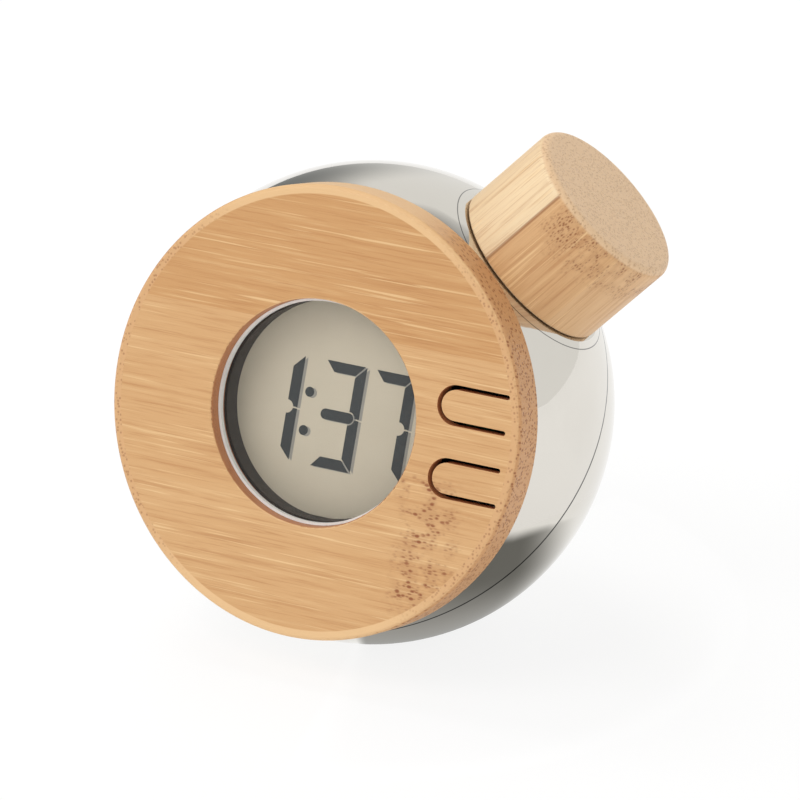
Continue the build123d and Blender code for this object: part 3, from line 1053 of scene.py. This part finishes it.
@dataclass
class NeckThread:
    """Screw thread of the filler neck and its mate inside the cap's liner, in millimetres.

    Args:
        clock: The clock's frame.
        pitch: Rise of one turn.
        neck_radius: Outer radius of the neck.
        liner_radius: Inner radius of the liner.
        ridge: Height of the ridges.
        root: How deep they are sunk in.
        start: Where the neck's thread starts along the axis.
        turns: Turns of each thread.
        steps: Sides of one turn.
        foot: Half the width of a ridge at its foot.
        crest: Half its width at its crest.
    """

    clock: ClockFrame
    pitch: float = 3.0
    neck_radius: float = 11.0
    liner_radius: float = 11.9
    ridge: float = 0.5
    root: float = 0.15
    start: float = 42.1
    turns: float = 1.6
    steps: int = 64
    foot: float = 0.85
    crest: float = 0.35

    def helix(self, radius: float, outwards: float, start: float) -> bmesh.types.BMesh:
        """Wind a ridge round the cap's axis.

        Args:
            radius: Radius that it stands on, in millimetres.
            outwards: 1 for a ridge on a shaft, -1 for a ridge in a bore.
            start: Where it starts along the axis, in millimetres.

        Returns:
            The ridge's mesh.
        """
        thread = bmesh.new()
        low, high = radius - outwards * self.root, radius + outwards * self.ridge
        profile = [(low, -self.foot), (high, -self.crest), (high, self.crest), (low, self.foot)]
        ring = []
        for away, rise in profile:
            place = self.clock.normal * away + self.clock.cap_axis * (start + rise)
            ring.append(thread.verts.new(self.clock.centre + place * MM))
        first = thread.faces.new(ring)
        bmesh.ops.spin(
            thread,
            geom=[first, *first.edges, *first.verts],
            cent=self.clock.centre,
            axis=self.clock.cap_axis,
            dvec=self.clock.cap_axis * self.pitch * MM / self.steps,
            angle=math.tau * self.turns,
            steps=int(self.turns * self.steps),
            use_duplicate=False,
        )
        return thread

    def build(self, neck: bpy.types.Material, liner: bpy.types.Material) -> None:
        """Make both ridges, half a turn apart so that they mesh.

        Args:
            neck: Finish of the neck.
            liner: Finish of the liner.
        """
        outer = self.helix(self.neck_radius, 1.0, self.start)
        new_piece("neck_thread", outer, "case", neck)
        inner = self.helix(self.liner_radius, -1.0, self.start + self.pitch / 2)
        new_piece("liner_thread", inner, "cap", liner)


@dataclass(frozen=True)
class Lamp:
    """Square soft light.

    Args:
        name: Name of the light.
        place: Where it hangs.
        size: Side of the square.
        power: Power in watts.
        mirrored: Whether the plating shows it.
    """

    name: str
    place: tuple[float, float, float]
    size: float
    power: float
    mirrored: bool = True

    def build(self, target: Vector) -> None:
        """Hang the light.

        Args:
            target: Point that it looks at.
        """
        light = bpy.data.lights.new(self.name, "AREA")
        light.shape = "SQUARE"
        light.size = self.size
        light.energy = self.power
        lamp = bpy.data.objects.new(self.name, light)
        lamp.location = self.place
        lamp.rotation_euler = (target - lamp.location).to_track_quat("-Z", "Y").to_euler()
        lamp.visible_glossy = self.mirrored
        bpy.context.scene.collection.objects.link(lamp)


@dataclass(frozen=True)
class MirroredFloorShadowCard:
    """Glowing card on the floor at the right that only mirrors see: a painted reflection of the clock's shadow on
    the floor, shading the polished plating.

    Args:
        ring: Inner and outer radius about the clock's base.
        sweep: Turns from the front between which it lies, in degrees.
        tone: Its glow where the painted shadow is darkest.
        pale: Its glow where the painted shadow fades into the floor.
        back: Depths between which it fades to the back.
        front: Shares of its distance to the right between which it fades to the front.
        under: Distances between which it fades under the ball, and how far.
        outer: Width of the fade at its outer edge.
        lift: Height above the floor.
        steps: Sides of its arc.
    """

    ring: Pair = (12 * MM, 68 * MM)
    sweep: Pair = (15.0, 165.0)
    tone: Colour = (0.17, 0.17, 0.16, 1.0)
    pale: Colour = (0.96, 0.96, 0.95, 1.0)
    back: Pair = (-2 * MM, 40 * MM)
    front: Pair = (0.42, 0.27)
    under: Wash = Wash(44 * MM, 22 * MM, 0.30)
    outer: float = 9 * MM
    lift: float = 0.2 * MM
    steps: int = 32

    HIDDEN_FROM = ("camera", "diffuse", "transmission", "shadow", "volume_scatter")

    def fade(self, graph: Graph) -> Socket:
        """Fade the card to the back, to the front, under the ball and at its outer edge.

        Args:
            graph: The card's material.

        Returns:
            A share from 0, dark, to 1, pale.
        """
        x, y = (graph.level(Vector(axis), Vector()) for axis in ((1, 0, 0), (0, 1, 0)))
        near = graph.length(x, y)
        back = graph.step(y, *self.back)
        front = graph.step(graph.math("DIVIDE", x, near), *self.front)
        under = graph.wash(near, self.under)
        outer = graph.step(near, self.ring[1] - self.outer, self.ring[1])
        ends = graph.math("ADD", back, front)
        return graph.math("ADD", ends, graph.math("ADD", under, outer), clamp=True)

    def build(self) -> None:
        """Lay the card."""
        arc = bmesh.new()
        start, end = (math.radians(turn) for turn in self.sweep)
        edge = [arc.verts.new((r * math.sin(start), -r * math.cos(start), self.lift)) for r in self.ring]
        side = arc.edges.new(edge)
        bmesh.ops.spin(arc, geom=[side, *edge], axis=(0, 0, 1), angle=end - start, steps=self.steps)
        graph = Graph("painted_floor_shadow")
        graph.set(Base_Color=(0.0, 0.0, 0.0, 1.0), Roughness=0.9, Specular_IOR_Level=0.0)
        # The card's glow paints the shadow that the plating mirrors
        graph.set(Emission_Color=graph.mix(self.fade(graph), self.tone, self.pale), Emission_Strength=1.0)
        card = new_object("painted_floor_shadow", arc, graph.material)
        for ray in self.HIDDEN_FROM:
            setattr(card, f"visible_{ray}", False)


@dataclass(frozen=True)
class Surroundings:
    """Bright walls all round under a darker ceiling, with one soft dark stretch behind at the left.

    Args:
        stops: Height from 0 to 1 and brightness of walls and ceiling.
        warmth: Share of the brightness that the blue has.
        dark_wall: Turn and rise of the middle of the dark stretch, in degrees.
        dark_spread: Angles from there at which it ends and at which it is full, in degrees.
        dark_tone: Colour of the dark stretch.
    """

    stops: tuple[Pair, ...] = ((0.0, 0.88), (0.66, 0.88), (0.72, 0.42), (1.0, 0.5))
    warmth: float = 0.985
    dark_wall: Pair = (-125.0, 6.0)
    dark_spread: Pair = (37.0, 12.0)
    dark_tone: Colour = (0.20, 0.21, 0.21, 1.0)

    def build(self) -> None:
        """Set up the world's shader."""
        world = bpy.data.worlds.new("studio")
        bpy.context.scene.world = world
        world.use_nodes = True
        nodes = Nodes(world.node_tree)
        direction = nodes.add("ShaderNodeTexCoord").outputs["Generated"]
        parts = nodes.add("ShaderNodeSeparateXYZ")
        nodes.put(parts.inputs[0], direction)
        tones = [(height, grey(tone, self.warmth)) for height, tone in self.stops]
        walls = nodes.ramp(parts.outputs[2], tones)
        ends = (math.cos(math.radians(spread)) for spread in self.dark_spread)
        dark = nodes.step(nodes.dot(direction, towards(*self.dark_wall)), *ends)
        background = world.node_tree.nodes["Background"]
        nodes.put(background.inputs[0], nodes.mix(dark, walls, self.dark_tone))


@dataclass
class Studio:
    """Pale floor, soft light and the camera.

    Args:
        clock: The clock's frame.
        azimuth: Turn of the camera from the front to the right, in degrees.
        elevation: Rise of the camera, in degrees.
        distance: Distance of the camera from the ball's centre.
        focal_px: Focal length, in pixels of the photograph.
        centre_px: Pixel at which the ball's centre lies.
        sensor: Width of the sensor, in millimetres.
        clip: Nearest and farthest distance that the camera sees.
        floor_half: Half the side of the floor.
        floor_cells: Cells of the floor's faint mottling, per metre.
        floor_tones: Colours of the floor.
        glow: Brightness of the floor's own light.
    """

    clock: ClockFrame
    azimuth: float = 27.83
    elevation: float = 22.99
    distance: float = 0.8918
    focal_px: float = 5000.0
    centre_px: Pair = (372.5, 402.0)
    sensor: float = 36.0
    clip: Pair = (0.01, 50.0)
    floor_half: float = 6.0
    floor_cells: float = 3.0
    floor_tones: tuple[Colour, Colour] = (grey(0.17), grey(0.18))
    glow: float = 0.82

    LAMPS = (
        Lamp("key_light", (-0.6, -0.9, 1.3), 0.9, 8.0),
        Lamp("top_light", (-0.45, 0.25, 0.9), 0.5, 3.0, mirrored=False),
    )

    def camera(self) -> None:
        """Place the camera where the photograph was taken from."""
        away = towards(self.azimuth, self.elevation)
        lens = bpy.data.cameras.new("camera")
        lens.sensor_width = self.sensor
        lens.lens = self.sensor * self.focal_px / IMAGE_SIDE
        lens.shift_x = (IMAGE_SIDE / 2 - self.centre_px[0]) / IMAGE_SIDE
        lens.shift_y = (self.centre_px[1] - IMAGE_SIDE / 2) / IMAGE_SIDE
        lens.clip_start, lens.clip_end = self.clip
        camera = bpy.data.objects.new("camera", lens)
        camera.location = self.clock.centre + away * self.distance
        camera.rotation_euler = (-away).to_track_quat("-Z", "Y").to_euler()
        bpy.context.scene.collection.objects.link(camera)
        bpy.context.scene.camera = camera

    def floor(self) -> None:
        """Lay the pale floor."""
        mesh = bmesh.new()
        bmesh.ops.create_grid(mesh, x_segments=1, y_segments=1, size=self.floor_half)
        graph = Graph("pale_floor")
        source = graph.add("ShaderNodeTexCoord").outputs["Object"]
        tone = graph.mix(graph.noise(source, (self.floor_cells,) * 3), *self.floor_tones)
        graph.set(Base_Color=tone, Roughness=0.6, Specular_IOR_Level=0.1)
        graph.set(Emission_Color=(1.0, 1.0, 1.0, 1.0), Emission_Strength=self.glow)
        floor = new_object("floor", mesh, graph.material)

    def build(self) -> None:
        """Set up the studio."""
        bpy.context.scene.view_settings.view_transform = "Standard"
        self.camera()
        self.floor()
        Surroundings().build()
        # Painted floor shadow, seen only in reflections
        MirroredFloorShadowCard().build()
        for lamp in self.LAMPS:
            lamp.build(self.clock.centre)


@dataclass
class Dresser:
    """Gives every solid of the clock its finish.

    Args:
        clock: The clock's frame.
        finishes: Materials by the record's slot.
    """

    clock: ClockFrame
    finishes: dict[str, bpy.types.Material] = field(default_factory=dict)

    def prepare(self) -> None:
        """Make the plain finishes and the plating."""
        kinds = [
            Plain("light_trim", srgb(246, 247, 245), srgb(236, 238, 236), 0.3),
            Plain("clear_lens", srgb(250, 250, 250), srgb(244, 246, 246), 0.08, alpha=0.02),
            Plain("display", srgb(198, 188, 166), srgb(194, 184, 162), 0.4, cells=120.0),
            Plain("dark_plastic", srgb(46, 38, 31), srgb(38, 31, 26), 0.6),
            Plain("contact_rubber", srgb(120, 120, 122), srgb(96, 96, 100), 0.8),
            Plain("board", srgb(28, 96, 52), srgb(22, 82, 44), 0.4),
            Plain("chip_resin", srgb(24, 24, 24), srgb(34, 34, 34), 0.25),
            Plain("steel", srgb(190, 192, 194), srgb(164, 166, 170), 0.35, 1.0),
            Plain("white_plastic", srgb(228, 227, 220), srgb(216, 215, 208), 0.45),
            Plain("tank_plastic", srgb(222, 226, 226), srgb(208, 213, 214), 0.4),
            Plain("copper", srgb(196, 124, 84), srgb(160, 96, 62), 0.4, 1.0),
            Plain("zinc", srgb(160, 164, 168), srgb(132, 136, 142), 0.5, 1.0),
            Plain("brass", srgb(204, 172, 96), srgb(176, 144, 78), 0.35, 1.0),
            Plain("seal_rubber", srgb(40, 40, 40), srgb(28, 28, 28), 0.75),
            Plain("display_dark", srgb(30, 37, 38), srgb(25, 32, 33), 0.7, cells=300.0),
            # Painted shadows of the display's bars
            Plain("display_soft", srgb(142, 139, 130), srgb(138, 135, 126), 0.5, cells=300.0),
        ]
        self.finishes = {kind.name: kind.build() for kind in kinds}
        low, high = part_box("rear_shell")
        self.finishes["chrome_shell"] = Plating(self.clock, (high[0] - low[0]) / 2).build()

    def dress(self) -> None:
        """Assign a finish to each solid, by its slot in the record."""
        panel = Bamboo(Grain.PANEL, self.clock, Wood()).build()
        pale = Wood(
            light=srgb(237, 211, 172),
            tan=srgb(214, 169, 120),
            end=srgb(230, 195, 155),
            speck=srgb(150, 98, 58),
            end_contrast=0.3,
            pores=2100.0,
        )
        cap = Bamboo(Grain.CAP, self.clock, pale).build()
        for row in frame["record"]["subparts"]:
            node, slot = row["node"], row["material_slot"]
            if slot == "bamboo":
                finish = cap if node == "cap_wood" else panel
            else:
                finish = self.finishes[slot]
            materials = frame["nodes"][node].data.materials
            materials.clear()
            materials.append(finish)
            LOG.info("dressed %s in %s", node, finish.name)


def main() -> None:
    """Dress the clock, add what the solids lack, and set up the studio."""
    logging.basicConfig(level=logging.INFO, format="%(message)s")
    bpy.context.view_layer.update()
    clock = ClockFrame.from_joints(frame["joints"], BALL_CENTRE_HEIGHT)
    dresser = Dresser(clock)
    dresser.prepare()
    dresser.dress()
    TimeReadout(clock).build(dresser.finishes["display_dark"], dresser.finishes["display_soft"])
    NeckThread(clock).build(dresser.finishes["tank_plastic"], dresser.finishes["white_plastic"])
    Studio(clock).build()


if __name__ == "__main__":
    main()
